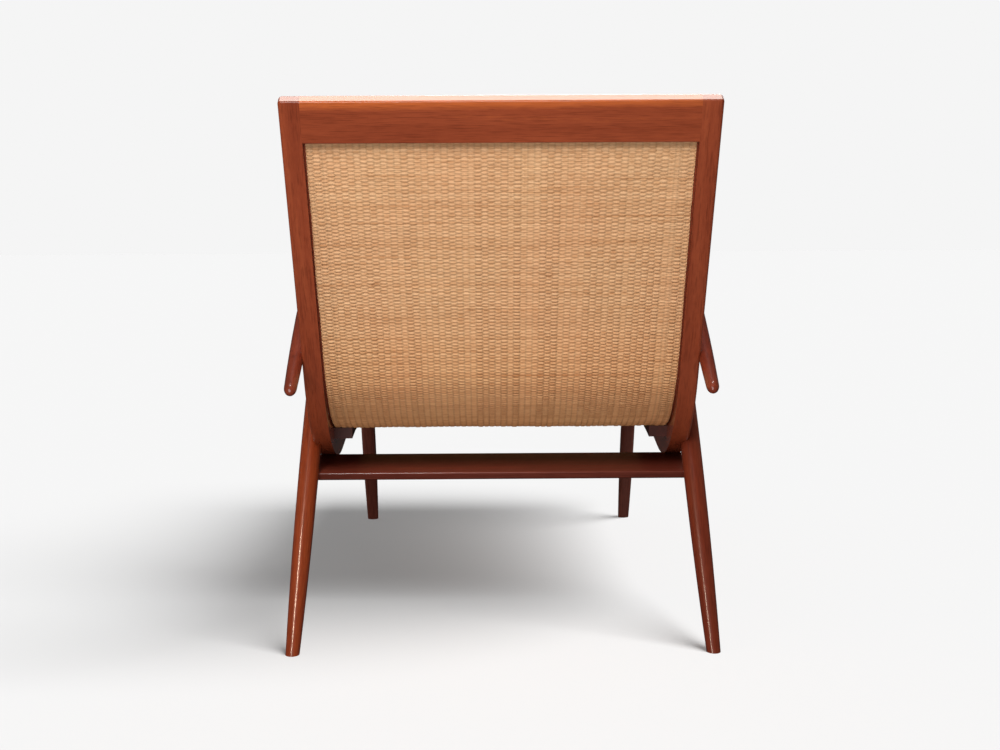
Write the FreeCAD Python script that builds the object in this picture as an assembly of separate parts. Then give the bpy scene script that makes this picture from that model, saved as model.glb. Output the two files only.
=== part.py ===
import FreeCAD, Part
import math
import os

V = FreeCAD.Vector

# Driving sizes, millimetres and degrees
# Frame: x across, y forward from the rear feet, z up from the floor
frame_width = 654.0
rail_width = 32.0
back_recline = 31.8
back_length = 652.0
hip_y = 205.0
hip_height = 314.0
hip_radius = 270.0
seat_slope = 5.2
seat_length = 680.0
knee_radius = 520.0
calf_slope = 9.0
calf_length = 450.0

# Side rail depth, measured square to the under surface of the woven sling
rail_rear = 6.0
rail_front = 14.0
rail_drop_hip = 71.0
rail_drop_knee = 46.0
rail_drop_front = 15.0
rail_under_radius = 330.0
rail_over_radius = 300.0
rail_outer_round = 5.5

# Rails across the two ends
top_rail_height = 70.0
front_rail_depth = 46.0
rail_edge_round = 2.5

# Woven sling and the slip frame it is wrapped on
weave_thickness = 5.0
weave_hollow = 1.3
weave_rib_width = 8.0
weave_hollow_count = 10
sling_side_gap = 2.5
slip_bar_width = 25.0
slip_bar_thickness = 7.0
joint_clearance = 0.2

# Bearers inside the seat rails
bearer_width = 32.0
bearer_height = 10.0
bearer_start_y = 300.0

# Legs, tapered round
rear_foot_radius = 10.6
rear_body_radius = 17.4
rear_head_radius = 12.0
front_foot_radius = 11.6
front_body_radius = 15.6
front_head_radius = 13.0
rear_foot_outset = 12.0
rear_foot_y = 16.0
rear_leg_splay = 1.3
rear_leg_rake = 39.2
rear_body_height = 285.0
front_foot_inset = 29.0
front_foot_y = 1225.0
front_leg_rake = 26.8
front_body_height = 260.0
front_leg_height = 400.0

# Arms, round: a slim rear tip, a neck at the bend and a fuller grip
arm_tip_y = 20.0
arm_tip_height = 420.5
arm_rear_slope = 28.2
arm_rear_length = 285.0
arm_front_slope = 5.0
arm_front_length = 390.0
arm_bend_radius = 300.0
arm_tip_radius = 10.4
arm_waist_radius = 12.5
arm_neck_radius = 13.2
arm_grip_radius = 15.6
arm_nose_length = 17.0
arm_seat_depth = 3.0

# Board between the rear legs and rail across the front
board_rear_y = 234.0
board_rear_height = 260.5
board_slope = 8.6
board_width = 118.0
board_thickness = 13.0
board_edge_round = 2.5
cross_rail_width = 52.0
cross_rail_thickness = 18.0
cross_rail_offset = 18.0

# Screws
screw_head_radius = 3.6
screw_head_height = 1.8
screws_per_bearer = 5
screw_first_share = 0.24
screw_pitch_share = 0.15
screws_per_board_end = 2
board_screw_setback = 14.0
board_screw_pitch = 32.0
board_screw_inset = 23.0

rail_out_x = frame_width / 2.0
rail_in_x = rail_out_x - rail_width
sling_x = rail_in_x - sling_side_gap
slip_in_x = sling_x - slip_bar_width
trim_reach = 300.0


def direction(angle):
    """Unit vector in the side view, angle in degrees above the forward axis."""
    a = math.radians(angle)
    return V(0.0, math.cos(a), math.sin(a))


def square_to(vector):
    """Side view direction a quarter turn to the left of another."""
    return V(0.0, -vector.z, vector.y)


back_along = direction(back_recline - 90.0)
seat_along = direction(seat_slope)
calf_along = direction(-calf_slope)
back_up = square_to(back_along)
seat_up = square_to(seat_along)
calf_up = square_to(calf_along)
upright = V(0.0, 0.0, 1.0)

hip = V(0.0, hip_y, hip_height)
top = hip - back_along * back_length
knee = hip + seat_along * seat_length
front = knee + calf_along * calf_length


def crossing(p, d, q, e):
    """Point where two lines of the side view cross."""
    turn = d.y * e.z - d.z * e.y
    t = ((q.y - p.y) * e.z - (q.z - p.z) * e.y) / turn
    return p + d * t


def rounded_path(points, radii):
    """Lines and arcs through the points, each inner corner rounded."""
    edges = []
    last = points[0]
    for i, radius in enumerate(radii):
        corner = points[i + 1]
        before = (points[i] - corner).normalize()
        after = (points[i + 2] - corner).normalize()
        half = before.getAngle(after) / 2.0
        reach = radius / math.tan(half)
        middle = (before + after).normalize()
        bend_from = corner + before * reach
        bend_to = corner + after * reach
        bend_mid = corner + middle * (radius / math.sin(half) - radius)
        edges.append(Part.makeLine(last, bend_from))
        edges.append(Part.Arc(bend_from, bend_mid, bend_to).toShape())
        last = bend_to
    edges.append(Part.makeLine(last, points[-1]))
    return edges


def sling_line(offset, top_cut=0.0, front_cut=0.0, hip_bend=None):
    """Path along the sling, raised square to it by the offset."""
    a = top + back_up * offset + back_along * top_cut
    b = crossing(a, back_along, hip + seat_up * offset, seat_along)
    c = crossing(b, seat_along, knee + calf_up * offset, calf_along)
    d = front + calf_up * offset - calf_along * front_cut
    bend = hip_bend or hip_radius - offset
    return rounded_path([a, b, c, d], [bend, knee_radius + offset])


def ends_of(edges):
    """First and last point of a path of joined edges."""
    return edges[0].Vertexes[0].Point, edges[-1].Vertexes[-1].Point


def extruded(edges, x_from, x_to):
    """Solid with a closed side view outline, from one x to another."""
    face = Part.Face(Part.Wire(edges))
    solid = face.extrude(V(x_to - x_from, 0.0, 0.0))
    solid.translate(V(x_from, 0.0, 0.0))
    return solid


def slab(under, over, x_from, x_to):
    """Solid between two side view paths that run the same way."""
    under_start, under_end = ends_of(under)
    over_start, over_end = ends_of(over)
    loop = list(under)
    loop.append(Part.makeLine(under_end, over_end))
    loop += list(reversed(over))
    loop.append(Part.makeLine(over_start, under_start))
    return extruded(loop, x_from, x_to)


def bar(corner, along, up, start, stop, low, high, half_length):
    """Straight bar across the frame with a rectangular section."""
    points = []
    for a, u in ((start, low), (stop, low), (stop, high), (start, high)):
        points.append(corner + along * a + up * u)
    edges = []
    for i in range(4):
        edges.append(Part.makeLine(points[i], points[(i + 1) % 4]))
    return extruded(edges, -half_length, half_length)


def edges_along_x(solid):
    """Straight edges that run across the frame."""
    found = []
    for edge in solid.Edges:
        box = edge.BoundBox
        if box.YLength < 1e-5 and box.ZLength < 1e-5:
            found.append(edge)
    return found


def edges_in_plane(solid, x):
    """Edges that lie in one plane across the frame."""
    found = []
    for edge in solid.Edges:
        box = edge.BoundBox
        if abs(box.XMin - x) < 1e-5 and abs(box.XMax - x) < 1e-5:
            found.append(edge)
    return found


def mirrored(solid):
    """The same piece on the other side of the chair."""
    return solid.mirror(V(0.0, 0.0, 0.0), V(1.0, 0.0, 0.0))


def largest(shape):
    """Largest solid that a cut leaves."""
    return max(shape.Solids, key=lambda s: s.Volume)


def rail_under():
    """Under and rear edge of a side rail."""
    a = top - back_up * rail_rear
    seat_from = hip - seat_up * rail_drop_hip
    c = knee - (seat_up + calf_up).normalize() * rail_drop_knee
    b = crossing(a, back_along, seat_from, (c - seat_from).normalize())
    d = front - calf_up * rail_drop_front
    return rounded_path([a, b, c, d], [rail_under_radius, knee_radius])


def edges_at_ends(solid):
    """Edges across the two end faces of a side rail."""
    found = []
    for edge in edges_along_x(solid):
        p = edge.Vertexes[0].Point
        at_top = (p - top).dot(back_along) < 1e-4
        at_front = (p - front).dot(calf_along) > -1e-4
        if at_top or at_front:
            found.append(edge)
    return found


# Side rail: stile of the back and rail of the seat in one bent length
rail_over = sling_line(rail_front, hip_bend=rail_over_radius)
side_rail = slab(rail_under(), rail_over, rail_in_x, rail_out_x)
side_rail = side_rail.makeFillet(rail_edge_round, edges_at_ends(side_rail))
side_rail = side_rail.makeFillet(rail_outer_round, edges_in_plane(side_rail, rail_out_x))

# Rails across the two ends, level with the faces of the side rails
top_rail = bar(top, back_along, back_up, 0.0, top_rail_height, -rail_rear, rail_front, rail_in_x)
top_rail = top_rail.makeFillet(rail_edge_round, edges_along_x(top_rail))
front_rail = bar(front, -calf_along, calf_up, 0.0, front_rail_depth,
                 -rail_drop_front, rail_front, rail_in_x)
front_rail = front_rail.makeFillet(rail_edge_round, edges_along_x(front_rail))

# Woven sling: one bent sheet from the top rail to the front rail
sling_top = top_rail_height + joint_clearance
sling_front = front_rail_depth + joint_clearance
slip_top = weave_thickness + slip_bar_thickness
under = sling_line(0.0, sling_top, sling_front)
over = sling_line(weave_thickness, sling_top, sling_front)
woven_sling = slab(under, over, -sling_x, sling_x)

# Long shallow hollows on both faces leave a full border and the ribs of the stakes
hollow_top = sling_top + slip_bar_width
hollow_front = sling_front + slip_bar_width
hollow_pitch = 2.0 * slip_in_x / weave_hollow_count
hollow_width = hollow_pitch - weave_rib_width
hollows = []
for low, high in ((-weave_hollow, weave_hollow),
                  (weave_thickness - weave_hollow, weave_thickness + weave_hollow)):
    low_line = sling_line(low, hollow_top, hollow_front)
    high_line = sling_line(high, hollow_top, hollow_front)
    for i in range(weave_hollow_count):
        start = -slip_in_x + hollow_pitch * i + weave_rib_width / 2.0
        hollows.append(slab(low_line, high_line, start, start + hollow_width))
woven_sling = largest(woven_sling.cut(Part.makeCompound(hollows)))

# Slip frame on the sitting side of the weave
cover = sling_line(slip_top, sling_top, sling_front)
slip_bar = slab(over, cover, slip_in_x, rail_in_x - joint_clearance)
slip_head = bar(top, back_along, back_up, sling_top, sling_top + slip_bar_width,
                weave_thickness, slip_top, slip_in_x)
slip_foot = bar(front, -calf_along, calf_up, sling_front, sling_front + slip_bar_width,
                weave_thickness, slip_top, slip_in_x)

# Bearer: straight under edge, upper edge hollowed to carry the bent weave
bearer_low = hip - seat_up * bearer_height
bearer_from = crossing(bearer_low, seat_along, V(0.0, bearer_start_y, 0.0), upright)
bearer_knee = crossing(bearer_low, seat_along, knee - calf_up * bearer_height, calf_along)
bearer_to = front - calf_up * bearer_height - calf_along * sling_front
bearer_under = rounded_path([bearer_from, bearer_knee, bearer_to], [knee_radius - bearer_height])
above = upright * trim_reach
bearer_over = [Part.makeLine(bearer_from + above, bearer_to + calf_up * trim_reach)]
bearer_in_x = rail_in_x - bearer_width
seat_bearer = slab(bearer_under, bearer_over, bearer_in_x, rail_in_x)
over_sling = [Part.makeLine(top + back_up * trim_reach * 2.0, front + calf_up * trim_reach * 2.0)]
seat_bearer = largest(seat_bearer.cut(slab(sling_line(0.0), over_sling, bearer_in_x - 1.0, rail_out_x)))


def turned(profile, at, axis):
    """Solid of revolution from a profile about the upright axis, set at a place along an axis."""
    solid = Part.Face(Part.Wire(profile)).revolve(V(0.0, 0.0, 0.0), upright, 360.0)
    solid.Placement = FreeCAD.Placement(at, FreeCAD.Rotation(upright, axis))
    return solid


def round_leg(foot, lean, radii, body_height, height):
    """Round leg along a leaning line, fullest at the body height, cut level at the floor."""
    foot_radius, body_radius, head_radius = radii
    axis = lean.normalize()
    below = foot_radius * 2.0
    stretch = 1.0 / axis.z
    low = V(0.0, 0.0, -below)
    high = V(0.0, 0.0, height * stretch)
    foot_edge = V(foot_radius, 0.0, -below)
    body_edge = V(body_radius, 0.0, body_height * stretch)
    head_edge = V(head_radius, 0.0, height * stretch)
    leg = turned([Part.makeLine(low, foot_edge),
                  Part.Arc(foot_edge, body_edge, head_edge).toShape(),
                  Part.makeLine(head_edge, high),
                  Part.makeLine(high, low)], foot, axis)
    floor = Part.makeBox(trim_reach, trim_reach, trim_reach)
    floor.translate(foot - V(trim_reach / 2.0, trim_reach / 2.0, trim_reach))
    return largest(leg.cut(floor))


def arm_limb(neck, along, length, waist, nose_radius):
    """Round limb from the neck of an arm, with a nose that narrows to a point."""
    straight = length - arm_nose_length
    root = V(0.0, 0.0, 0.0)
    root_edge = V(arm_neck_radius, 0.0, 0.0)
    waist_edge = V(waist, 0.0, straight / 2.0)
    nose_edge = V(nose_radius, 0.0, straight)
    point = V(0.0, 0.0, length)
    long_way, short_way = (point, nose_edge) if arm_nose_length > nose_radius else (nose_edge, point)
    nose = Part.Ellipse(long_way, short_way, V(0.0, 0.0, straight))
    quarter = Part.ArcOfEllipse(nose, 0.0, math.pi / 2.0).toShape()
    return turned([Part.makeLine(root, root_edge),
                   Part.Arc(root_edge, waist_edge, nose_edge).toShape(),
                   quarter,
                   Part.makeLine(point, root)], neck, along)


# Arm: two round limbs and the bend between them
arm_x = rail_out_x - arm_seat_depth + arm_neck_radius
arm_rear_along = direction(arm_rear_slope)
arm_front_along = direction(arm_front_slope)
arm_tip = V(arm_x, arm_tip_y, arm_tip_height)
arm_bend = arm_tip + arm_rear_along * arm_rear_length
arm_front = arm_bend + arm_front_along * arm_front_length
rear_line, bend_line, front_line = rounded_path([arm_tip, arm_bend, arm_front], [arm_bend_radius])
rear_neck = bend_line.Vertexes[0].Point
front_neck = bend_line.Vertexes[-1].Point
rear_limb = arm_limb(rear_neck, -arm_rear_along, rear_line.Length, arm_waist_radius, arm_tip_radius)
front_limb = arm_limb(front_neck, arm_front_along, front_line.Length, arm_grip_radius, arm_neck_radius)
neck_ring = Part.Wire(Part.Circle(rear_neck, arm_rear_along, arm_neck_radius).toShape())
elbow = Part.Wire(bend_line).makePipeShell([neck_ring], True, True)
arm = rear_limb.fuse([elbow, front_limb])
arm = largest(arm.cut(side_rail))

# Rear leg: one length from the floor, lapped on the side rail, up to the arm
rear_lean = V(-math.tan(math.radians(rear_leg_splay)), math.tan(math.radians(rear_leg_rake)), 1.0)
rear_foot = V(rail_out_x + rear_foot_outset, rear_foot_y, 0.0)
rear_radii = (rear_foot_radius, rear_body_radius, rear_head_radius)
rear_head = crossing(rear_foot, rear_lean, arm_bend, arm_front_along)
rear_leg = round_leg(rear_foot, rear_lean, rear_radii, rear_body_height, rear_head.z)
rear_leg = largest(rear_leg.cut(side_rail))
rear_leg = largest(rear_leg.cut(arm))

# Front leg: its head meets the under edge of the side rail
front_lean = V(0.0, -math.tan(math.radians(front_leg_rake)), 1.0)
front_foot = V(rail_out_x - front_foot_inset, front_foot_y, 0.0)
front_radii = (front_foot_radius, front_body_radius, front_head_radius)
front_leg = round_leg(front_foot, front_lean, front_radii, front_body_height, front_leg_height)
rail_above = slab(rail_under(), over_sling, 0.0, rail_out_x + rail_width)
front_leg = largest(front_leg.cut(rail_above))

# Board under the bends, between the rear legs and let in to the side rails
board_along = direction(board_slope)
board_up = square_to(board_along)
board_corner = V(0.0, board_rear_y, board_rear_height)
board = bar(board_corner, board_along, board_up, 0.0, board_width, -board_thickness, 0.0, rail_out_x)
board = board.makeFillet(board_edge_round, edges_along_x(board))
for piece in (rear_leg, side_rail):
    board = largest(board.cut(piece))
    board = largest(board.cut(mirrored(piece)))

# Rail across the front, under the bearers and ahead of the front legs
leg_meets = crossing(V(0.0, front_foot_y, 0.0), front_lean, front - calf_up * bearer_height, calf_along)
cross_rail = bar(leg_meets, calf_along, calf_up, cross_rail_offset, cross_rail_offset + cross_rail_width,
                 -cross_rail_thickness, 0.0, rail_in_x)


# Screws through the bearers and up through the board
bearer_screws = []
for i in range(screws_per_bearer):
    share = screw_first_share + screw_pitch_share * i
    at = hip + seat_along * (seat_length * share) - seat_up * (bearer_height / 2.0)
    seat = V(bearer_in_x, at.y, at.z)
    head = Part.makeCylinder(screw_head_radius, screw_head_height, seat, V(-1.0, 0.0, 0.0))
    bearer_screws += [head, mirrored(head)]

board_screws = []
for i in range(screws_per_board_end):
    reach = board_width - board_screw_setback - board_screw_pitch * i
    seat = board_corner + board_along * reach - board_up * board_thickness
    seat.x = rail_out_x - board_screw_inset
    head = Part.makeCylinder(screw_head_radius, screw_head_height, seat, -board_up)
    board_screws += [head, mirrored(head)]

nodes = {
    "top_rail": top_rail,
    "front_rail": front_rail,
    "woven_sling": woven_sling,
    "slip_head_bar": slip_head,
    "slip_foot_bar": slip_foot,
    "rear_cross_board": board,
    "front_cross_rail": cross_rail,
    "bearer_screws": Part.makeCompound(bearer_screws),
    "board_screws": Part.makeCompound(board_screws),
}
pairs = {
    "side_rail": side_rail,
    "rear_leg": rear_leg,
    "front_leg": front_leg,
    "arm": arm,
    "seat_bearer": seat_bearer,
    "slip_bar": slip_bar,
}
for name, solid in pairs.items():
    nodes[name + "_right"] = solid
    nodes[name + "_left"] = mirrored(solid)

# Origin on the floor in the middle of the length
ends = []
for shape in nodes.values():
    ends += [p.y for p in shape.tessellate(0.1)[0]]
to_middle = V(0.0, -(min(ends) + max(ends)) / 2.0, 0.0)

os.makedirs("parts", exist_ok=True)
for name, shape in nodes.items():
    placed = shape.copy()
    placed.translate(to_middle)
    placed.exportStep("parts/" + name + ".step")
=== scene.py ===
import math

import bmesh
import bpy
from mathutils import Matrix, Vector


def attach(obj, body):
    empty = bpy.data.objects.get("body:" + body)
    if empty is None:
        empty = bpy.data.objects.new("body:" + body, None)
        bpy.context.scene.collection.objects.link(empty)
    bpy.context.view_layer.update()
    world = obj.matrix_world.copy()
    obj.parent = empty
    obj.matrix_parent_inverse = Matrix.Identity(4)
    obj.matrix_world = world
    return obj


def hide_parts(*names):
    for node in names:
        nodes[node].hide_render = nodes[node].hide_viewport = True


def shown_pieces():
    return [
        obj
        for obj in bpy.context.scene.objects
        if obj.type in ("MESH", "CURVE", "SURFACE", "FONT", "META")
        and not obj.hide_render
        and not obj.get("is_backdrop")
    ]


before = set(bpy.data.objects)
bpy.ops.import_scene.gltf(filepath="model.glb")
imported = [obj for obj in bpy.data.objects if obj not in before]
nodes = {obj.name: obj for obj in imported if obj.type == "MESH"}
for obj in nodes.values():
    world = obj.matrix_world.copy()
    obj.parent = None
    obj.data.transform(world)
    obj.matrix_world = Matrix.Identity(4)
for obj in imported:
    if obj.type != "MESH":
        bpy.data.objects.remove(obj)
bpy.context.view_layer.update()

# Side view of the chaise, metres and degrees: y forward, z up
HIP = Vector((0.0, -0.3879, 0.314))
BACK_RECLINE = 31.8
BACK_LENGTH = 0.652
SEAT_SLOPE = 5.2
SEAT_LENGTH = 0.680
CALF_SLOPE = 9.0
CALF_LENGTH = 0.450
HIP_RADIUS = 0.270
KNEE_RADIUS = 0.520
HIP_STEPS = 48
KNEE_STEPS = 32
TOP_RAIL_HEIGHT = 0.0702
FRONT_RAIL_DEPTH = 0.0462
REAR_LEG_RAKE = 39.2
FRONT_LEG_RAKE = 26.8
ARM_SLOPE = 20.0
BOARD_SLOPE = 8.6

# Woven cane
CANE_HALF_WIDTH = 0.2921
CANE_MIDDLE = 0.0025
STAKE_COUNT = 58
STAKE_PITCH = 2.0 * CANE_HALF_WIDTH / STAKE_COUNT
STAKE_WIDTH = 0.0084
STAKE_THICKNESS = 0.0009
STAKE_STEPS = 160
WEFT_PITCH = 0.00326
WEFT_WIDTH = 0.0052
WEFT_THICKNESS = 0.0011
WEFT_RISE = 0.00035
RISE_SPREAD = 0.62
TIGHT_HEIGHT = 0.80
SLACK_HEIGHT = 0.42
SLACK = 1.25
FINE_WANDER = 0.0010
LONG_WANDER = 0.0030
ROW_JITTER = 0.00042
RISE_SEED = 5
FIRST_WEFT_SEED = 7
STAKE_SEED = 3
CANE_SECTIONS = ("back_upper", "back_lower", "seat_rear", "seat_front")

# Screws
SCREW_RADIUS = 0.0036
SCREW_HEIGHT = 0.0018
SCREW_CROWN = 0.55
SCREW_SIDES = 20
SCREW_RINGS = 4
SLOT_WIDTH = 0.0009
SLOT_DEPTH = 0.0008
SCREW_SEEDS = {"bearer_screws": 11, "board_screws": 12}

# Noise waves to a metre: in wood the last is along the grain, in cane the first is along the wefts
FIGURE_WAVES = (34.0, 34.0, 1.8)
RIBBON_WAVES = (110.0, 110.0, 3.2)
MOTTLE_WAVES = (190.0, 190.0, 60.0)
PORE_WAVES = (760.0, 760.0, 26.0)
PATCH_WAVES = (7.0, 5.0, 5.0)
FLECK_WAVES = (70.0, 330.0, 330.0)
MARK_WAVES = (38.0, 70.0, 70.0)
STREAK_WAVES = (4.0, 230.0, 230.0)
FINE_WANDER_WAVES = (26.0, 60.0, 60.0)
LONG_WANDER_WAVES = (9.0, 13.0, 13.0)
BRASS_WAVES = (420.0, 420.0, 420.0)
FLOOR_WAVES = (2.0, 2.0, 2.0)

# Shares and tones of the wood
FIGURE_SHARE = 0.58
RIBBON_SHARE = 0.24
MOTTLE_SHARE = 0.18
PORE_SHARE = 0.55
PORE_TONE = (0.52, 0.46, 0.42, 1.0)
PORE_RELIEF = 0.06
PORE_DEPTH = 0.0006
GLOSS_SPREAD = 0.16
WOOD_SPECULAR = 0.28
GRAIN_SHIFT = (1.0, 0.7, 1.3)
SEAT_BEND_BLEND = 0.16
KNEE_BEND_BLEND = 0.10
SAP_RAGGED = 0.012
SAP_ENDS = 0.024
SAP_FULL = 0.010
SAP_PALER = 0.24
HEART_DARKER = -0.05

# Shares and tones of the cane, with the grooves counted in stakes from the border
STRAND_SHARE = 0.30
FLECK_SHARE = 0.70
WARM_SHARE = 0.75
WARM_LIGHT = (1.0, 1.0, 0.97, 1.0)
WARM_DEEP = (1.0, 0.94, 0.90, 1.0)
# Painted shade: heights between which the cane turns darker towards the bottom, its tone there, and how much
# its joint lines darken
PAINTED_SHADE_FROM_HEIGHT = 0.60
PAINTED_SHADE_FULL_HEIGHT = 0.33
PAINTED_LOW_SHADE_TONE = (0.92, 0.80, 0.67, 1.0)
PAINTED_LOW_SHADE_JOINTS = 0.6
# Painted shade in the joints between the stakes and in the grooves of the border
JOINT_START = 0.26
JOINT_SHADE = 0.15
JOINT_TONE = (0.10, 0.045, 0.02, 1.0)
BORDER_GROOVES = (0.8, 2.3)
GROOVE_SIDE = 0.30
GROOVE_FLOOR = 0.05
GROOVE_SHADE = 0.16
DARK_ROW = (0.86, 0.77, 0.68, 1.0)
PALE_ROW = (1.07, 1.06, 1.04, 1.0)
MARK_SHARE = 0.8
MARK_TONE = (0.62, 0.48, 0.36, 1.0)
FLECK_RELIEF = 0.25
FLECK_DEPTH = 0.0003
CANE_ROUGHNESS = 0.50
CANE_ROUGH_SPREAD = 0.24
CANE_SPECULAR = 0.3

# Brass, and a white for all finishes
BRASS_ROUGHNESS = 0.18
BRASS_ROUGH_SPREAD = 0.35
WHITE = (1.0, 1.0, 1.0, 1.0)

# Sockets of the Random Value node for plain numbers
RANDOM_LOW = 2
RANDOM_HIGH = 3
RANDOM_RESULT = 1


def side_direction(angle):
    """Unit vector in the side view, angle in degrees above the forward axis."""
    a = math.radians(angle)
    return Vector((0.0, math.cos(a), math.sin(a)))


def square_to(vector):
    """Side view direction a quarter turn to the left of another."""
    return Vector((0.0, -vector.z, vector.y))


BACK_ALONG = side_direction(BACK_RECLINE - 90.0)
SEAT_ALONG = side_direction(SEAT_SLOPE)
CALF_ALONG = side_direction(-CALF_SLOPE)
BACK_UP = square_to(BACK_ALONG)
SEAT_UP = square_to(SEAT_ALONG)
CALF_UP = square_to(CALF_ALONG)
KNEE = HIP + SEAT_ALONG * SEAT_LENGTH
BOARD_DOWN = -square_to(side_direction(BOARD_SLOPE))


def crossing(p, d, q, e):
    """Point where two lines of the side view cross."""
    turn = d.y * e.z - d.z * e.y
    t = ((q.y - p.y) * e.z - (q.z - p.z) * e.y) / turn
    return p + d * t


def rounded_corner(before, corner, after, radius, steps):
    """Points on the arc that rounds one corner of the sling's line."""
    to_before = (before - corner).normalized()
    to_after = (after - corner).normalized()
    half = to_before.angle(to_after) / 2.0
    reach = radius / math.tan(half)
    centre = corner + (to_before + to_after).normalized() * (radius / math.sin(half))
    first = corner + to_before * reach - centre
    last = corner + to_after * reach - centre
    sweep = first.angle(last)
    points = []
    for i in range(steps + 1):
        share = i / steps
        a = math.sin((1.0 - share) * sweep) / math.sin(sweep)
        b = math.sin(share * sweep) / math.sin(sweep)
        points.append(centre + first * a + last * b)
    return points


def sling_line(offset):
    """Points along the sling from head to foot, raised square to it by the offset."""
    top = HIP - BACK_ALONG * (BACK_LENGTH - TOP_RAIL_HEIGHT) + BACK_UP * offset
    bend = crossing(top, BACK_ALONG, HIP + SEAT_UP * offset, SEAT_ALONG)
    crest = crossing(bend, SEAT_ALONG, KNEE + CALF_UP * offset, CALF_ALONG)
    foot = KNEE + CALF_ALONG * (CALF_LENGTH - FRONT_RAIL_DEPTH) + CALF_UP * offset
    line = [top]
    line += rounded_corner(top, bend, crest, HIP_RADIUS - offset, HIP_STEPS)
    line += rounded_corner(bend, crest, foot, KNEE_RADIUS + offset, KNEE_STEPS)
    line.append(foot)
    return line


def line_length(points):
    """Length of a line through points."""
    return sum((b - a).length for a, b in zip(points, points[1:]))


def paint(red, green, blue):
    """Colour of a finish, given as it looks on a screen."""
    shares = []
    for value in (red, green, blue):
        s = value / 255.0
        shares.append(s / 12.92 if s <= 0.04045 else ((s + 0.055) / 1.055) ** 2.4)
    return (*shares, 1.0)


def put(tree, kind, inputs=None, **settings):
    """A node in a tree, with its settings, and its inputs set or linked."""
    node = tree.nodes.new(kind)
    for name, value in settings.items():
        setattr(node, name, value)
    for key, value in (inputs or {}).items():
        if isinstance(value, bpy.types.NodeSocket):
            tree.links.new(value, node.inputs[key])
        else:
            node.inputs[key].default_value = value
    return node


def made(tree, kind, inputs=None, **settings):
    """First output of a new node."""
    return put(tree, kind, inputs, **settings).outputs[0]


def sum_of(tree, operation, *values):
    """Result of one Math node."""
    return made(tree, "ShaderNodeMath", dict(enumerate(values)), operation=operation)


def moved(tree, operation, *values):
    """Result of one Vector Math node."""
    node = put(tree, "ShaderNodeVectorMath", dict(enumerate(values)), operation=operation)
    return node.outputs["Value"] if operation == "DOT_PRODUCT" else node.outputs["Vector"]


def vector_of(tree, x=0.0, y=0.0, z=0.0):
    """Vector joined from its three parts."""
    return made(tree, "ShaderNodeCombineXYZ", {"X": x, "Y": y, "Z": z})


def parts_of(tree, vector):
    """The X, Y and Z parts of a vector."""
    return put(tree, "ShaderNodeSeparateXYZ", {"Vector": vector}).outputs


def mapped(tree, value, start, end, low=0.0, high=1.0, way="LINEAR"):
    """Value carried from one range to another and kept inside it."""
    ranges = {"Value": value, "From Min": start, "From Max": end, "To Min": low, "To Max": high}
    return made(tree, "ShaderNodeMapRange", ranges, interpolation_type=way)


def random_between(tree, low, high, seed, owner=None):
    """Random number between two values, one for each point or for each owner."""
    inputs = {RANDOM_LOW: low, RANDOM_HIGH: high, "Seed": seed}
    if owner is not None:
        inputs["ID"] = owner
    return put(tree, "FunctionNodeRandomValue", inputs, data_type="FLOAT").outputs[RANDOM_RESULT]


def shades(tree, share, stops):
    """Colour ramp through (place, colour) stops."""
    ramp = put(tree, "ShaderNodeValToRGB", {"Fac": share})
    elements = ramp.color_ramp.elements
    while len(elements) < len(stops):
        elements.new(0.5)
    for element, (place, colour) in zip(elements, stops):
        element.position = place
        element.color = colour
    return ramp.outputs["Color"]


def blended(tree, share, first, second, way="MIX"):
    """Two colours mixed by a share."""
    node = put(tree, "ShaderNodeMix", data_type="RGBA", blend_type=way)
    for index, value in ((0, share), (6, first), (7, second)):
        if isinstance(value, bpy.types.NodeSocket):
            tree.links.new(value, node.inputs[index])
        else:
            node.inputs[index].default_value = value
    return node.outputs[2]


def cloud(tree, place, waves, detail=3.0, twist=0.0):
    """Noise on a place in metres, with its own waves on each axis."""
    scaled = moved(tree, "MULTIPLY", place, waves)
    return made(tree, "ShaderNodeTexNoise", {
        "Vector": scaled, "Scale": 1.0, "Detail": detail, "Distortion": twist})


def new_finish(name):
    """An empty finish: the material, its tree and its surface shader."""
    finish = bpy.data.materials.new(name)
    finish.use_nodes = True
    tree = finish.node_tree
    return finish, tree, tree.nodes["Principled BSDF"]


def bumped(tree, surface, strength, depth, height):
    """Gives a surface a fine relief."""
    bump = made(tree, "ShaderNodeBump", {"Strength": strength, "Distance": depth, "Height": height})
    tree.links.new(bump, surface.inputs["Normal"])


def place_on_piece(tree):
    """Place on the piece, in metres."""
    return put(tree, "ShaderNodeTexCoord").outputs["Object"]


def grain_across(tree):
    """Grain coordinates for a piece that runs across the chaise, the last one along the grain."""
    turn = (0.0, math.radians(-90.0), 0.0)
    return made(tree, "ShaderNodeMapping", {"Vector": place_on_piece(tree), "Rotation": turn})


def grain_leaning(angle):
    """Grain coordinates for a piece that leans forward, angle in degrees from upright."""

    def coordinates(tree):
        turn = (math.radians(angle), 0.0, 0.0)
        return made(tree, "ShaderNodeMapping", {"Vector": place_on_piece(tree), "Rotation": turn})

    return coordinates


def grain_along_rail(tree):
    """Grain coordinates that follow the bends of the side rails."""
    place = place_on_piece(tree)
    parts = parts_of(tree, place)
    depths = []
    for point, up in ((HIP, BACK_UP), (HIP, SEAT_UP), (KNEE, CALF_UP)):
        across = moved(tree, "DOT_PRODUCT", place, tuple(up))
        depths.append(sum_of(tree, "SUBTRACT", across, point.dot(up)))
    bent = sum_of(tree, "SMOOTH_MAX", depths[1], depths[2], KNEE_BEND_BLEND)
    bent = sum_of(tree, "SMOOTH_MIN", depths[0], bent, SEAT_BEND_BLEND)
    along = sum_of(tree, "SUBTRACT", parts["Y"], parts["Z"])
    return vector_of(tree, parts["X"], bent, along)


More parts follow.
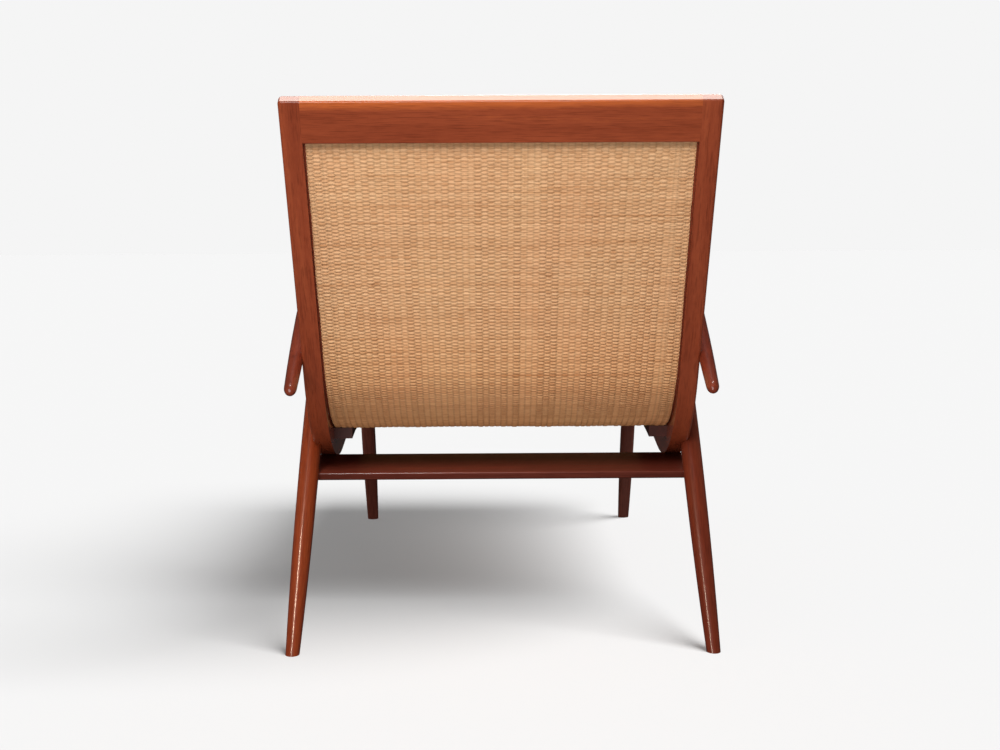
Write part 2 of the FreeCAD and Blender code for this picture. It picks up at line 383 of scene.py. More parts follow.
def polished_wood(name, coordinates, dark, middle, light,
                  gloss=0.30, coat=0.35, shift=0.0, streak=None, polish=0.10):
    """Red-brown hardwood under a thin polish, with figure and pores along the grain."""
    finish, tree, surface = new_finish(name)
    grain = moved(tree, "ADD", coordinates(tree), tuple(shift * part for part in GRAIN_SHIFT))
    figure = cloud(tree, grain, FIGURE_WAVES, 4.0, 0.5)
    ribbon = cloud(tree, grain, RIBBON_WAVES, 2.0, 0.2)
    mottle = cloud(tree, grain, MOTTLE_WAVES, 2.0)
    pores = cloud(tree, grain, PORE_WAVES, 2.0)
    share = sum_of(tree, "MULTIPLY", figure, FIGURE_SHARE)
    share = sum_of(tree, "MULTIPLY_ADD", ribbon, RIBBON_SHARE, share)
    share = sum_of(tree, "MULTIPLY_ADD", mottle, MOTTLE_SHARE, share)
    if streak:
        share = sum_of(tree, "ADD", share, streak(tree, figure))
    tone = shades(tree, share, ((0.24, dark), (0.50, middle), (0.76, light)))
    pits = shades(tree, pores, ((0.34, PORE_TONE), (0.50, WHITE)))
    tree.links.new(blended(tree, PORE_SHARE, tone, pits, "MULTIPLY"), surface.inputs["Base Color"])
    rough = sum_of(tree, "MULTIPLY_ADD", ribbon, GLOSS_SPREAD, gloss - GLOSS_SPREAD / 2.0)
    tree.links.new(rough, surface.inputs["Roughness"])
    bumped(tree, surface, PORE_RELIEF, PORE_DEPTH, pores)
    surface.inputs["Specular IOR Level"].default_value = WOOD_SPECULAR
    surface.inputs["Coat Weight"].default_value = coat
    surface.inputs["Coat Roughness"].default_value = polish
    return finish


def sap_streak(tree, figure):
    """Pale sapwood along the upper edge of the top rail."""
    up_back = moved(tree, "DOT_PRODUCT", place_on_piece(tree), tuple(-BACK_ALONG))
    from_top = sum_of(tree, "SUBTRACT", BACK_LENGTH - HIP.dot(BACK_ALONG), up_back)
    ragged = sum_of(tree, "MULTIPLY_ADD", figure, SAP_RAGGED, from_top)
    return mapped(tree, ragged, SAP_ENDS, SAP_FULL, HEART_DARKER, SAP_PALER)


def joint_shade(tree, across, painted_low_shade):
    """Painted shade: dark lines between the stakes and in the grooves of the border, stronger towards the
    bottom where the cane has painted low shade.
    """
    from_border = sum_of(tree, "SUBTRACT", CANE_HALF_WIDTH, sum_of(tree, "ABSOLUTE", across))
    stakes_in = sum_of(tree, "DIVIDE", from_border, STAKE_PITCH)
    from_middle = sum_of(tree, "SUBTRACT", sum_of(tree, "FRACT", stakes_in), 0.5)
    joint = sum_of(tree, "ABSOLUTE", from_middle)
    shade = mapped(tree, joint, JOINT_START, 0.5, high=JOINT_SHADE, way="SMOOTHSTEP")
    for groove in BORDER_GROOVES:
        off = sum_of(tree, "ABSOLUTE", sum_of(tree, "SUBTRACT", stakes_in, groove))
        line = mapped(tree, off, GROOVE_SIDE, GROOVE_FLOOR, high=GROOVE_SHADE)
        shade = sum_of(tree, "MAXIMUM", shade, line)
    stronger = sum_of(tree, "MULTIPLY_ADD", painted_low_shade, PAINTED_LOW_SHADE_JOINTS, 1.0)
    return sum_of(tree, "MULTIPLY", shade, stronger)


def cane_finish(name, light, middle, dark):
    """Split cane: straw to orange, each strand its own tone, with streaked rows and a few dark marks, and
    painted shade towards the bottom and in the joints.
    """
    finish, tree, surface = new_finish(name)
    place = place_on_piece(tree)
    strand = put(tree, "ShaderNodeAttribute", attribute_name="strand_tone").outputs["Fac"]
    patches = cloud(tree, place, PATCH_WAVES, 2.0)
    flecks = cloud(tree, place, FLECK_WAVES, 2.0)
    marks = cloud(tree, place, MARK_WAVES, 3.0)
    streaks = cloud(tree, place, STREAK_WAVES, 1.0)
    share = sum_of(tree, "MULTIPLY", strand, STRAND_SHARE)
    share = sum_of(tree, "MULTIPLY_ADD", flecks, FLECK_SHARE, share)
    tone = shades(tree, share, ((0.28, dark), (0.50, middle), (0.74, light)))
    warm = shades(tree, patches, ((0.35, WARM_LIGHT), (0.65, WARM_DEEP)))
    tone = blended(tree, WARM_SHARE, tone, warm, "MULTIPLY")
    parts = parts_of(tree, place)
    # Painted shade: the cane turns darker and more orange towards the bottom, where the sling curves under
    painted_low_shade = mapped(tree, parts["Z"], PAINTED_SHADE_FROM_HEIGHT, PAINTED_SHADE_FULL_HEIGHT, way="SMOOTHSTEP")
    tone = blended(tree, painted_low_shade, tone, blended(tree, 1.0, tone, PAINTED_LOW_SHADE_TONE, "MULTIPLY"))
    tone = blended(tree, joint_shade(tree, parts["X"], painted_low_shade), tone, JOINT_TONE)
    rows = shades(tree, streaks, ((0.28, DARK_ROW), (0.38, WHITE), (0.64, WHITE), (0.74, PALE_ROW)))
    tone = blended(tree, 1.0, tone, rows, "MULTIPLY")
    spots = shades(tree, marks, ((0.22, MARK_TONE), (0.32, WHITE)))
    tree.links.new(blended(tree, MARK_SHARE, tone, spots, "MULTIPLY"), surface.inputs["Base Color"])
    rough = sum_of(tree, "MULTIPLY_ADD", flecks, CANE_ROUGH_SPREAD, CANE_ROUGHNESS)
    tree.links.new(rough, surface.inputs["Roughness"])
    bumped(tree, surface, FLECK_RELIEF, FLECK_DEPTH, flecks)
    surface.inputs["Specular IOR Level"].default_value = CANE_SPECULAR
    return finish


def brass_finish(name):
    """Brass of the screw heads, dulled in patches."""
    finish, tree, surface = new_finish(name)
    dull = cloud(tree, place_on_piece(tree), BRASS_WAVES, 3.0)
    tone = shades(tree, dull, ((0.35, paint(120, 88, 40)), (0.65, paint(196, 156, 86))))
    tree.links.new(tone, surface.inputs["Base Color"])
    rough = sum_of(tree, "MULTIPLY_ADD", dull, BRASS_ROUGH_SPREAD, BRASS_ROUGHNESS)
    tree.links.new(rough, surface.inputs["Roughness"])
    surface.inputs["Metallic"].default_value = 1.0
    return finish


# Finishes
frame_wood = polished_wood(
    "frame_wood", grain_along_rail, paint(116, 47, 27), paint(144, 65, 38), paint(166, 81, 47))
top_wood = polished_wood(
    "top_wood", grain_across, paint(126, 54, 31), paint(149, 68, 39), paint(188, 94, 45),
    shift=0.62, streak=sap_streak)
# The board's wood is painted darker than the frame's, as painted shade under the seat
board_wood = polished_wood(
    "board_wood", grain_across, paint(72, 28, 20), paint(96, 40, 28), paint(116, 53, 37),
    gloss=0.36, coat=0.25, shift=0.77)
left_leg_wood = polished_wood(
    "left_leg_wood", grain_leaning(REAR_LEG_RAKE),
    paint(112, 43, 21), paint(142, 60, 29), paint(168, 78, 38),
    gloss=0.32, coat=0.55, shift=0.12, polish=0.13)
# The right rear leg is the left leg's wood painted darker, as painted shade on the side away from the light
right_leg_wood_painted_shade = polished_wood(
    "right_leg_wood_painted_shade", grain_leaning(REAR_LEG_RAKE),
    paint(102, 39, 23), paint(129, 54, 33), paint(152, 70, 42),
    gloss=0.32, coat=0.26, shift=0.37, polish=0.13)
# The front legs' wood is painted darker and duller than the frame's, as painted shade under the seat
front_leg_wood_painted_shade = polished_wood(
    "front_leg_wood_painted_shade", grain_leaning(-FRONT_LEG_RAKE),
    paint(84, 41, 33), paint(111, 58, 46), paint(133, 75, 59),
    gloss=0.30, coat=0.3, shift=0.45)
arm_wood = polished_wood(
    "arm_wood", grain_leaning(90.0 - ARM_SLOPE),
    paint(96, 37, 23), paint(123, 50, 31), paint(146, 65, 39),
    gloss=0.34, coat=0.45, shift=0.93, polish=0.05)
# The bearers' wood is painted nearly black-brown, as painted shade under the seat
bearer_wood = polished_wood(
    "bearer_wood", grain_along_rail, paint(60, 24, 16), paint(82, 33, 22), paint(102, 44, 29),
    gloss=0.5, coat=0.0, shift=0.58)
slip_wood = polished_wood(
    "slip_wood", grain_along_rail, paint(112, 48, 30), paint(144, 66, 43), paint(168, 84, 54),
    gloss=0.34, coat=0.25, shift=0.21)
cross_wood = polished_wood(
    "cross_wood", grain_across, paint(104, 44, 28), paint(136, 62, 40), paint(160, 80, 52),
    gloss=0.34, coat=0.25, shift=0.66)
woven_cane = cane_finish("woven_cane", paint(229, 182, 137), paint(219, 169, 124), paint(206, 153, 107))
screw_brass = brass_finish("screw_brass")

NODE_FINISH = {
    "side_rail_left": frame_wood,
    "side_rail_right": frame_wood,
    "top_rail": top_wood,
    "front_rail": top_wood,
    "rear_cross_board": board_wood,
    "front_cross_rail": cross_wood,
    "rear_leg_left": left_leg_wood,
    "rear_leg_right": right_leg_wood_painted_shade,
    "front_leg_left": front_leg_wood_painted_shade,
    "front_leg_right": front_leg_wood_painted_shade,
    "arm_left": arm_wood,
    "arm_right": arm_wood,
    "seat_bearer_left": bearer_wood,
    "seat_bearer_right": bearer_wood,
    "slip_bar_left": slip_wood,
    "slip_bar_right": slip_wood,
    "slip_head_bar": cross_wood,
    "slip_foot_bar": cross_wood,
}
for node_name, finish in NODE_FINISH.items():
    for finish_slot in nodes[node_name].material_slots:
        finish_slot.material = finish


def new_tree(name, lengths, counts):
    """A node tree with named inputs for its sizes and finish, a start mesh in and a mesh out."""
    tree = bpy.data.node_groups.new(name, "GeometryNodeTree")
    labels = [("Geometry", "NodeSocketGeometry")]
    labels += [(label, "NodeSocketFloat") for label in lengths]
    labels += [(label, "NodeSocketInt") for label in counts]
    labels.append(("Finish", "NodeSocketMaterial"))
    for label, kind in labels:
        tree.interface.new_socket(label, in_out="INPUT", socket_type=kind)
    tree.interface.new_socket("Geometry", in_out="OUTPUT", socket_type="NodeSocketGeometry")
    return tree, put(tree, "NodeGroupInput").outputs


def close_tree(tree, geometry, finish):
    """Ends a tree with whole, flat-shaded faces and a finish."""
    whole = made(tree, "GeometryNodeRealizeInstances", {"Geometry": geometry})
    shaded = made(tree, "GeometryNodeSetShadeSmooth", {"Geometry": whole, "Shade Smooth": False})
    dressed = made(tree, "GeometryNodeSetMaterial", {"Geometry": shaded, "Material": finish})
    put(tree, "NodeGroupOutput", {"Geometry": dressed})


def lens_section(tree, width, thickness):
    """Flat rounded section of a strand, four corners."""
    ring = made(tree, "GeometryNodeCurvePrimitiveCircle", {"Resolution": 4, "Radius": 0.5}, mode="RADIUS")
    size = vector_of(tree, width, thickness, 1.0)
    return made(tree, "GeometryNodeTransform", {"Geometry": ring, "Scale": size})


def strand_along(tree, curve, section):
    """Mesh of one strand along a curve, its width kept level."""
    level = made(tree, "GeometryNodeSetCurveNormal", {"Curve": curve}, mode="Z_UP")
    return made(tree, "GeometryNodeCurveToMesh", {
        "Curve": level, "Profile Curve": section, "Fill Caps": True})


def wander(tree, geometry, given):
    """Uneven lie of hand-laid strands: a fine shiver and a long drift."""
    place = made(tree, "GeometryNodeInputPosition")
    drifts = ((given["Fine Wander"], FINE_WANDER_WAVES), (given["Long Wander"], LONG_WANDER_WAVES))
    for amount, waves in drifts:
        scaled = moved(tree, "MULTIPLY", place, waves)
        noise = put(tree, "ShaderNodeTexNoise", {"Vector": scaled, "Scale": 1.0, "Detail": 1.0})
        centred = moved(tree, "SUBTRACT", noise.outputs["Color"], (0.5, 0.5, 0.5))
        shift = moved(tree, "MULTIPLY", centred, vector_of(tree, amount, amount, amount))
        geometry = made(tree, "GeometryNodeSetPosition", {"Geometry": geometry, "Offset": shift})
    return geometry


def tone_each(tree, points, seed):
    """Gives each strand its own tone between 0 and 1."""
    tone = random_between(tree, 0.0, 1.0, seed)
    return made(tree, "GeometryNodeStoreNamedAttribute", {
        "Geometry": points, "Name": "strand_tone", "Value": tone}, data_type="FLOAT", domain="POINT")


def opposite_wefts(tree, given):
    """Two neighbouring wefts: each goes over one stake and under the next, one opposite to the other."""
    section = lens_section(tree, given["Strand Width"], given["Strand Thickness"])
    samples = sum_of(tree, "MULTIPLY_ADD", given["Stakes"], 2.0, 2.0)
    straight = made(tree, "GeometryNodeCurvePrimitiveLine", {
        "Start": (-1.0, 0.0, 0.0), "End": (1.0, 0.0, 0.0)})
    line = made(tree, "GeometryNodeResampleCurve", {"Curve": straight, "Count": samples}, mode="COUNT")
    inner = sum_of(tree, "SUBTRACT", made(tree, "GeometryNodeInputIndex"), 1.0)
    from_middle = sum_of(tree, "SUBTRACT", sum_of(tree, "ADD", inner, 0.5), given["Stakes"])
    half_pitch = sum_of(tree, "MULTIPLY", given["Stake Pitch"], 0.5)
    across = sum_of(tree, "MULTIPLY", from_middle, half_pitch)
    across = sum_of(tree, "MINIMUM", across, given["Half Width"])
    across = sum_of(tree, "MAXIMUM", across, sum_of(tree, "MULTIPLY", given["Half Width"], -1.0))
    stake = sum_of(tree, "FLOOR", sum_of(tree, "MULTIPLY", inner, 0.5))
    uneven = random_between(tree, -1.0, 1.0, RISE_SEED, stake)
    uneven = sum_of(tree, "MULTIPLY_ADD", uneven, given["Rise Spread"], 1.0)
    rise = sum_of(tree, "MULTIPLY", uneven, given["Rise"])
    pair = put(tree, "GeometryNodeGeometryToInstance")
    for start in (0.0, 1.0):
        side = sum_of(tree, "FLOORED_MODULO", sum_of(tree, "ADD", stake, start), 2.0)
        lift = sum_of(tree, "MULTIPLY", sum_of(tree, "MULTIPLY_ADD", side, -2.0, 1.0), rise)
        place = vector_of(tree, across, 0.0, lift)
        waved = made(tree, "GeometryNodeSetPosition", {"Geometry": line, "Position": place})
        tree.links.new(strand_along(tree, waved, section), pair.inputs[0])
    return pair.outputs[0]


def weft_tree():
    """Wefts across the sling, row by row, looser towards the seat."""
    tree, given = new_tree(
        "cane_wefts",
        ("From Share", "To Share", "Stake Pitch", "Half Width", "Strand Width", "Strand Thickness", "Rise",
         "Rise Spread", "Tight Height", "Slack Height", "Slack", "Fine Wander", "Long Wander", "Row Jitter"),
        ("Rows", "Stakes", "Seed"))
    path = made(tree, "GeometryNodeMeshToCurve", {"Mesh": given["Geometry"]})
    stretch = made(tree, "GeometryNodeTrimCurve", {
        "Curve": path, "Start": given["From Share"], "End": given["To Share"]}, mode="FACTOR")
    rows = put(tree, "GeometryNodeCurveToPoints", {"Curve": stretch, "Count": given["Rows"]}, mode="COUNT")
    tangent = rows.outputs["Tangent"]
    turn = made(tree, "FunctionNodeAxesToRotation", {0: tangent, 1: (1.0, 0.0, 0.0)},
                primary_axis="Y", secondary_axis="X")
    skew = sum_of(tree, "MULTIPLY", random_between(tree, -1.0, 1.0, given["Seed"]), given["Row Jitter"])
    shift = made(tree, "ShaderNodeVectorMath", {0: tangent, "Scale": skew}, operation="SCALE")
    laid = made(tree, "GeometryNodeSetPosition", {"Geometry": rows.outputs["Points"], "Offset": shift})
    laid = tone_each(tree, laid, given["Seed"])
    which = sum_of(tree, "FLOORED_MODULO", made(tree, "GeometryNodeInputIndex"), 2.0)
    height = parts_of(tree, made(tree, "GeometryNodeInputPosition"))["Z"]
    slack = mapped(tree, height, given["Tight Height"], given["Slack Height"], high=given["Slack"])
    looser = vector_of(tree, 1.0, 1.0, sum_of(tree, "ADD", slack, 1.0))
    woven = made(tree, "GeometryNodeInstanceOnPoints", {
        "Points": laid, "Instance": opposite_wefts(tree, given), "Pick Instance": True,
        "Instance Index": which, "Rotation": turn, "Scale": looser})
    woven = made(tree, "GeometryNodeRealizeInstances", {"Geometry": woven})
    close_tree(tree, wander(tree, woven, given), given["Finish"])
    return tree


def stake_tree():
    """Stakes along the sling from head to foot, side by side."""
    tree, given = new_tree(
        "cane_stakes",
        ("Stake Pitch", "Strand Width", "Strand Thickness", "Fine Wander", "Long Wander"),
        ("Stakes", "Steps", "Seed"))
    section = lens_section(tree, given["Strand Width"], given["Strand Thickness"])
    path = made(tree, "GeometryNodeMeshToCurve", {"Mesh": given["Geometry"]})
    path = made(tree, "GeometryNodeResampleCurve", {"Curve": path, "Count": given["Steps"]}, mode="COUNT")
    stake = strand_along(tree, path, section)
    half = sum_of(tree, "MULTIPLY", sum_of(tree, "SUBTRACT", given["Stakes"], 1.0), -0.5)
    first = vector_of(tree, sum_of(tree, "MULTIPLY", half, given["Stake Pitch"]))
    step = vector_of(tree, given["Stake Pitch"])
    places = made(tree, "GeometryNodeMeshLine", {
        "Count": given["Stakes"], "Start Location": first, "Offset": step}, mode="OFFSET")
    places = tone_each(tree, places, given["Seed"])
    laid = made(tree, "GeometryNodeInstanceOnPoints", {"Points": places, "Instance": stake})
    laid = made(tree, "GeometryNodeRealizeInstances", {"Geometry": laid})
    close_tree(tree, wander(tree, laid, given), given["Finish"])
    return tree


def slotted_head(tree, given):
    """One round screw head with a straight slot across its crown."""
    drum = made(tree, "GeometryNodeMeshCylinder", {
        "Vertices": SCREW_SIDES, "Side Segments": SCREW_RINGS,
        "Radius": given["Head Radius"], "Depth": given["Head Height"]})
    parts = parts_of(tree, made(tree, "GeometryNodeInputPosition"))
    height = sum_of(tree, "MULTIPLY_ADD", given["Head Height"], 0.5, parts["Z"])
    rise = sum_of(tree, "POWER", sum_of(tree, "DIVIDE", height, given["Head Height"]), 2.0)
    left = sum_of(tree, "SUBTRACT", 1.0, sum_of(tree, "MULTIPLY", rise, given["Crown"]))
    drawn_in = sum_of(tree, "SQRT", left)
    across = sum_of(tree, "MULTIPLY", parts["X"], drawn_in)
    along = sum_of(tree, "MULTIPLY", parts["Y"], drawn_in)
    crowned = vector_of(tree, across, along, height)
    head = made(tree, "GeometryNodeSetPosition", {"Geometry": drum, "Position": crowned})
    cutter_size = vector_of(
        tree, given["Slot Width"], sum_of(tree, "MULTIPLY", given["Head Radius"], 3.0),
        sum_of(tree, "MULTIPLY", given["Slot Depth"], 2.0))
    cutter = made(tree, "GeometryNodeMeshCube", {"Size": cutter_size})
    at_top = vector_of(tree, z=given["Head Height"])
    cutter = made(tree, "GeometryNodeTransform", {"Geometry": cutter, "Translation": at_top})
    return made(tree, "GeometryNodeMeshBoolean", {"Mesh 1": head, "Mesh 2": cutter}, operation="DIFFERENCE")


def screw_tree():
    """Slotted round heads, one on each seat, square to it, with the slots turned at random."""
    tree, given = new_tree(
        "slotted_screws", ("Head Radius", "Head Height", "Crown", "Slot Width", "Slot Depth"), ("Seed",))
    outward = made(tree, "GeometryNodeInputNamedAttribute", {"Name": "outward"}, data_type="FLOAT_VECTOR")
    facing = made(tree, "FunctionNodeAlignRotationToVector", {"Vector": outward}, axis="Z")
    angle = random_between(tree, 0.0, math.pi, given["Seed"])
    spin = made(tree, "FunctionNodeAxisAngleToRotation", {"Axis": (0.0, 0.0, 1.0), "Angle": angle})
    turn = made(tree, "FunctionNodeRotateRotation", {"Rotation": facing, "Rotate By": spin},
                rotation_space="LOCAL")
    driven = made(tree, "GeometryNodeInstanceOnPoints", {
        "Points": given["Geometry"], "Instance": slotted_head(tree, given), "Rotation": turn})
    close_tree(tree, driven, given["Finish"])
    return tree


def grown(name, start_mesh, tree, sizes):
    """Plain mesh piece that a tree grows from a start mesh."""
    seedling = bpy.data.objects.new(name + "_start", start_mesh)
    bpy.context.scene.collection.objects.link(seedling)
    modifier = seedling.modifiers.new("grow", "NODES")
    modifier.node_group = tree
    for item in tree.interface.items_tree:
        if item.in_out == "INPUT" and item.name in sizes:
            modifier[item.identifier] = sizes[item.name]
    graph = bpy.context.evaluated_depsgraph_get()
    mesh = bpy.data.meshes.new_from_object(
        seedling.evaluated_get(graph), preserve_all_data_layers=True, depsgraph=graph)
    mesh.name = name
    seedling.modifiers.remove(modifier)
    bpy.data.objects.remove(seedling)
    piece = bpy.data.objects.new(name, mesh)
    bpy.context.scene.collection.objects.link(piece)
    return piece


def line_mesh(name, points):
    """Mesh of joined edges through points."""
    mesh = bpy.data.meshes.new(name)
    mesh.from_pydata([tuple(p) for p in points], [(i, i + 1) for i in range(len(points) - 1)], [])
    return mesh


# Woven sling
middle_line = sling_line(CANE_MIDDLE)
sling_length = line_length(middle_line)
rows_per_section = 2 * round(sling_length / WEFT_PITCH / 2 / len(CANE_SECTIONS))
row_count = rows_per_section * len(CANE_SECTIONS)
weft_maker = weft_tree()
for number, section_name in enumerate(CANE_SECTIONS):
    first_row = number * rows_per_section
    last_row = first_row + rows_per_section - 1
    wefts = grown("cane_wefts_" + section_name, line_mesh("sling_line", middle_line), weft_maker, {
        "From Share": (first_row + 0.5) / row_count,
        "To Share": (last_row + 0.5) / row_count,
        "Rows": rows_per_section,
        "Stakes": STAKE_COUNT,
        "Stake Pitch": STAKE_PITCH,
        "Half Width": CANE_HALF_WIDTH,
        "Strand Width": WEFT_WIDTH,
        "Strand Thickness": WEFT_THICKNESS,
        "Rise": WEFT_RISE,
        "Rise Spread": RISE_SPREAD,
        "Tight Height": TIGHT_HEIGHT,
        "Slack Height": SLACK_HEIGHT,
        "Slack": SLACK,
        "Fine Wander": FINE_WANDER,
        "Long Wander": LONG_WANDER,
        "Row Jitter": ROW_JITTER,
        "Seed": FIRST_WEFT_SEED + number,
        "Finish": woven_cane})
    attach(wefts, "root")
    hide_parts("woven_sling")
stakes = grown("cane_stakes", line_mesh("sling_line", middle_line), stake_tree(), {
    "Stakes": STAKE_COUNT,
    "Stake Pitch": STAKE_PITCH,
    "Strand Width": STAKE_WIDTH,
    "Strand Thickness": STAKE_THICKNESS,
    "Steps": STAKE_STEPS,
    "Fine Wander": FINE_WANDER,
    "Long Wander": LONG_WANDER,
    "Seed": STAKE_SEED,
    "Finish": woven_cane})
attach(stakes, "root")
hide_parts("woven_sling")


def solid_middles(node_name):
    """Middle of each separate solid of a CAD node."""
    shell = bmesh.new()
    shell.from_mesh(nodes[node_name].data)
    bmesh.ops.remove_doubles(shell, verts=shell.verts, dist=1e-6)
    waiting = set(shell.verts)
    middles = []
    while waiting:
        reached = [waiting.pop()]
        solid = []
        while reached:
            corner = reached.pop()
            solid.append(corner.co.copy())
            for edge in corner.link_edges:
                other = edge.other_vert(corner)
                if other in waiting:
                    waiting.remove(other)
                    reached.append(other)
        low = Vector(min(p[axis] for p in solid) for axis in range(3))
        high = Vector(max(p[axis] for p in solid) for axis in range(3))
        middles.append((low + high) / 2.0)
    shell.free()
    return sorted(middles, key=tuple)


# Screws, each seated where its CAD solid is
screw_maker = screw_tree()
for group, seed in SCREW_SEEDS.items():
    seats = []
    axes = []
    for middle in solid_middles(group):
        inward = Vector((-math.copysign(1.0, middle.x), 0.0, 0.0))
        axis = BOARD_DOWN if group == "board_screws" else inward
        seats.append(middle - axis * (SCREW_HEIGHT / 2.0))
        axes.append(axis)
    seat_mesh = bpy.data.meshes.new(group + "_seats")
    seat_mesh.from_pydata([tuple(seat) for seat in seats], [], [])
    outward = seat_mesh.attributes.new("outward", "FLOAT_VECTOR", "POINT")
    for number, axis in enumerate(axes):
        outward.data[number].vector = axis
    screws = grown("slotted_" + group, seat_mesh, screw_maker, {
        "Head Radius": SCREW_RADIUS,
        "Head Height": SCREW_HEIGHT,
        "Crown": SCREW_CROWN,
        "Slot Width": SLOT_WIDTH,
        "Slot Depth": SLOT_DEPTH,
        "Seed": seed,
        "Finish": screw_brass})
    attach(screws, "root")
    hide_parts(group)

# Floor
FLOOR_REACH = 60.0
FLOOR_SEEN = 0.45
FLOOR_BOUNCE = 0.20
FLOOR_MIRRORED = 0.02
FLOOR_LIFT = 0.20
FLOOR_ROUGHNESS = 0.9
FLOOR_GREY = (0.998, 0.998, 0.998, 1.0)


def floor_finish(name):
    """Pale floor paint, lifted where the camera sees it and dim in reflections."""
    finish, tree, surface = new_finish(name)
    mottle = cloud(tree, place_on_piece(tree), FLOOR_WAVES)
    tone = shades(tree, mottle, ((0.3, FLOOR_GREY), (0.7, WHITE)))
    rays = put(tree, "ShaderNodeLightPath").outputs
    in_view = rays["Is Camera Ray"]
    unseen = mapped(tree, rays["Is Glossy Ray"], 0.0, 1.0, FLOOR_BOUNCE, FLOOR_MIRRORED)
    share = mapped(tree, in_view, 0.0, 1.0, unseen, FLOOR_SEEN)
    level = vector_of(tree, share, share, share)
    tree.links.new(blended(tree, 1.0, tone, level, "MULTIPLY"), surface.inputs["Base Color"])
    lift = sum_of(tree, "MULTIPLY", in_view, FLOOR_LIFT)
    tree.links.new(lift, surface.inputs["Emission Strength"])
    surface.inputs["Emission Color"].default_value = WHITE
    surface.inputs["Roughness"].default_value = FLOOR_ROUGHNESS
    surface.inputs["Specular IOR Level"].default_value = 0.0
    return finish


floor_corners = [
    (-FLOOR_REACH, -FLOOR_REACH, 0.0), (FLOOR_REACH, -FLOOR_REACH, 0.0),
    (FLOOR_REACH, FLOOR_REACH, 0.0), (-FLOOR_REACH, FLOOR_REACH, 0.0)]
floor_mesh = bpy.data.meshes.new("studio_floor")
floor_mesh.from_pydata(floor_corners, [], [(0, 1, 2, 3)])
floor_mesh.materials.append(floor_finish("floor_paint"))
studio_floor = bpy.data.objects.new("studio_floor", floor_mesh)
bpy.context.scene.collection.objects.link(studio_floor)
studio_floor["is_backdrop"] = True

# Backdrop and room light
BACKDROP_TONE = 0.913
FILL_TONE = 0.14
MIRRORED_TONE = 0.05
studio = bpy.data.worlds.new("studio")
bpy.context.scene.world = studio
studio.use_nodes = True
sky = studio.node_tree
sky_rays = put(sky, "ShaderNodeLightPath").outputs
room_tone = mapped(sky, sky_rays["Is Glossy Ray"], 0.0, 1.0, FILL_TONE, MIRRORED_TONE)
backdrop = made(sky, "ShaderNodeBackground", {"Color": WHITE, "Strength": BACKDROP_TONE})
room = made(sky, "ShaderNodeBackground", {"Color": WHITE, "Strength": room_tone})
both = made(sky, "ShaderNodeMixShader", {0: sky_rays["Is Camera Ray"], 1: room, 2: backdrop})
sky.links.new(both, sky.nodes["World Output"].inputs["Surface"])


def lit_group(name, members):
    """A group of pieces that one lamp lights."""
    group = bpy.data.collections.new(name)
    for member in members:
        group.objects.link(member)
    return group


def all_but(*left_out):
    """All pieces of the chaise but some."""
    return [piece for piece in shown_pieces() if piece not in left_out]


# Groups of pieces that share a lamp
cane_pieces = [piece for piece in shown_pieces() if piece.name.startswith("cane_")]
rear_legs = [nodes["rear_leg_left"], nodes["rear_leg_right"]]
arms = [nodes["arm_left"], nodes["arm_right"]]
board = nodes["rear_cross_board"]
under_seat = [board, nodes["seat_bearer_left"], nodes["seat_bearer_right"]]
head_pieces = [nodes["top_rail"], nodes["side_rail_left"], nodes["side_rail_right"]]
lit_upper = lit_group("lit_upper", all_but(*under_seat, *cane_pieces))
lit_low = lit_group("lit_low", all_but(*rear_legs, *cane_pieces, board))
lit_board = lit_group("lit_board", [board])
lit_cane = lit_group("lit_cane", cane_pieces)
lit_head = lit_group("lit_head", head_pieces)
lit_legs = lit_group("lit_legs", rear_legs)
lit_arms = lit_group("lit_arms", arms)
lit_front = lit_group("lit_front", all_but(*under_seat, *arms))
lit_slim = lit_group("lit_slim", rear_legs + arms)
lit_broad = lit_group("lit_broad", all_but(*rear_legs, *arms, board))
lit_floor = lit_group("lit_floor", [studio_floor])


def hang_light(name, kind, place, aim, power, lights, mirrored=True, **settings):
    """A lamp at a place, turned to what it lights, unseen itself."""
    lamp = bpy.data.lights.new(name, kind)
    lamp.energy = power
    for key, value in settings.items():
        setattr(lamp, key, value)
    holder = bpy.data.objects.new(name, lamp)
    holder.location = place
    holder.rotation_euler = (Vector(aim) - Vector(place)).to_track_quat("-Z", "Y").to_euler()
    holder.visible_camera = False
    holder.visible_glossy = mirrored
    holder.light_linking.receiver_collection = lights
    bpy.context.scene.collection.objects.link(holder)


def hang_softbox(name, place, aim, power, lights, width, height, **settings):
    """A flat lamp of a width and a height."""
    hang_light(name, "AREA", place, aim, power, lights,
               shape="RECTANGLE", size=width, size_y=height, **settings)


# Lamps: places and aims in metres, power in watts, for the sun in watts to a square metre
hang_light("floor_key", "SUN", (0.80, -0.50, 1.0), (0.0, 0.0, 0.0), 6.35, lit_floor,
           angle=math.radians(50.0))
hang_softbox("rear_softbox", (-0.5, -2.5, 1.6), (0.0, -0.55, 0.55), 33.0, lit_upper, 1.8, 1.0)
hang_softbox("cane_softbox", (-0.5, -2.4, 1.9), (0.0, -0.55, 0.55), 59.0, lit_cane, 1.8, 0.8)
hang_softbox("cane_card", (0.0, -0.62, 0.02), (0.0, -0.42, 0.37), 0.75, lit_cane, 0.7, 0.3)
hang_softbox("cane_fill", (-0.2, -2.6, 0.7), (0.0, -0.6, 0.65), 8.0, lit_cane, 1.8, 0.6)
hang_softbox("low_softbox", (-0.5, -2.9, 0.6), (0.0, -0.5, 0.55), 26.0, lit_low, 1.6, 0.7)
hang_softbox("board_card", (-0.42, -1.21, 1.34), (-0.12, -0.33, 0.27), 30.0, lit_board, 0.6, 0.4)
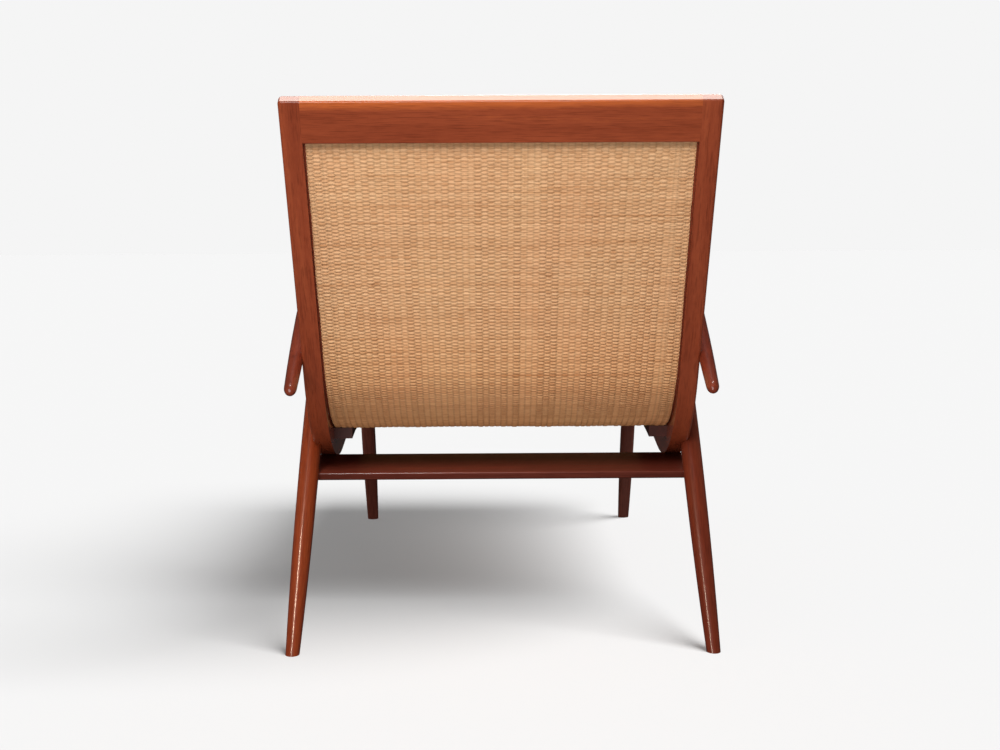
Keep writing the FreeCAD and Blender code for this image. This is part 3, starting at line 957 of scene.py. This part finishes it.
hang_softbox("head_softbox", (0.0, -0.32, 1.6), (0.0, -0.72, 0.87), 14.0, lit_head, 1.5, 0.5,
             color=(1.0, 0.95, 0.88))
hang_softbox("leg_strip", (-0.68, -1.25, 1.5), (-0.68, -1.25, 0.0), 10.0, lit_legs, 0.08, 0.40,
             color=(1.0, 0.80, 0.62))
hang_softbox("front_softbox", (0.6, 3.0, 2.2), (0.0, 0.2, 0.4), 130.0, lit_front, 2.0, 1.6)
for side, way in (("left", -1.0), ("right", 1.0)):
    hang_softbox(side + "_softbox", (way * 3.0, 0.8, 1.7), (0.0, 0.1, 0.4), 45.0, lit_broad, 1.6, 1.2,
                 mirrored=False)
    hang_softbox(side + "_card", (way * 3.0, 1.4, 1.5), (0.0, -0.2, 0.4), 22.0, lit_slim, 1.2, 1.0,
                 mirrored=False)
    hang_light(side + "_arm_spot", "AREA", (way * 0.36, -0.42, 1.9), (way * 0.34, -0.60, 0.5), 5.0,
               lit_arms, shape="DISK", size=0.10)

# Camera: pixels of the 1000 by 750 picture, metres and degrees
IMAGE_WIDTH = 1000
IMAGE_HEIGHT = 750
FOCAL_PIXELS = 1554.1
HORIZON_ROW = 235.77
EYE = (-0.0206, -3.0289, 0.669)
TURN_PIXELS = -11.3
ROLL = 0.3145
SENSOR_WIDTH = 36.0
camera_data = bpy.data.cameras.new("photo_camera")
camera_data.sensor_fit = "HORIZONTAL"
camera_data.sensor_width = SENSOR_WIDTH
camera_data.lens = FOCAL_PIXELS / IMAGE_WIDTH * SENSOR_WIDTH
camera = bpy.data.objects.new("photo_camera", camera_data)
tilt = math.atan((IMAGE_HEIGHT / 2 - HORIZON_ROW) / FOCAL_PIXELS)
turned = Matrix.Rotation(math.atan(TURN_PIXELS / FOCAL_PIXELS), 4, "Z")
pitched = Matrix.Rotation(math.pi / 2 - tilt, 4, "X")
rolled = Matrix.Rotation(math.radians(-ROLL), 4, "Z")
camera.matrix_world = Matrix.Translation(EYE) @ turned @ pitched @ rolled
bpy.context.scene.collection.objects.link(camera)
bpy.context.scene.camera = camera
bpy.context.scene.view_settings.view_transform = "Standard"
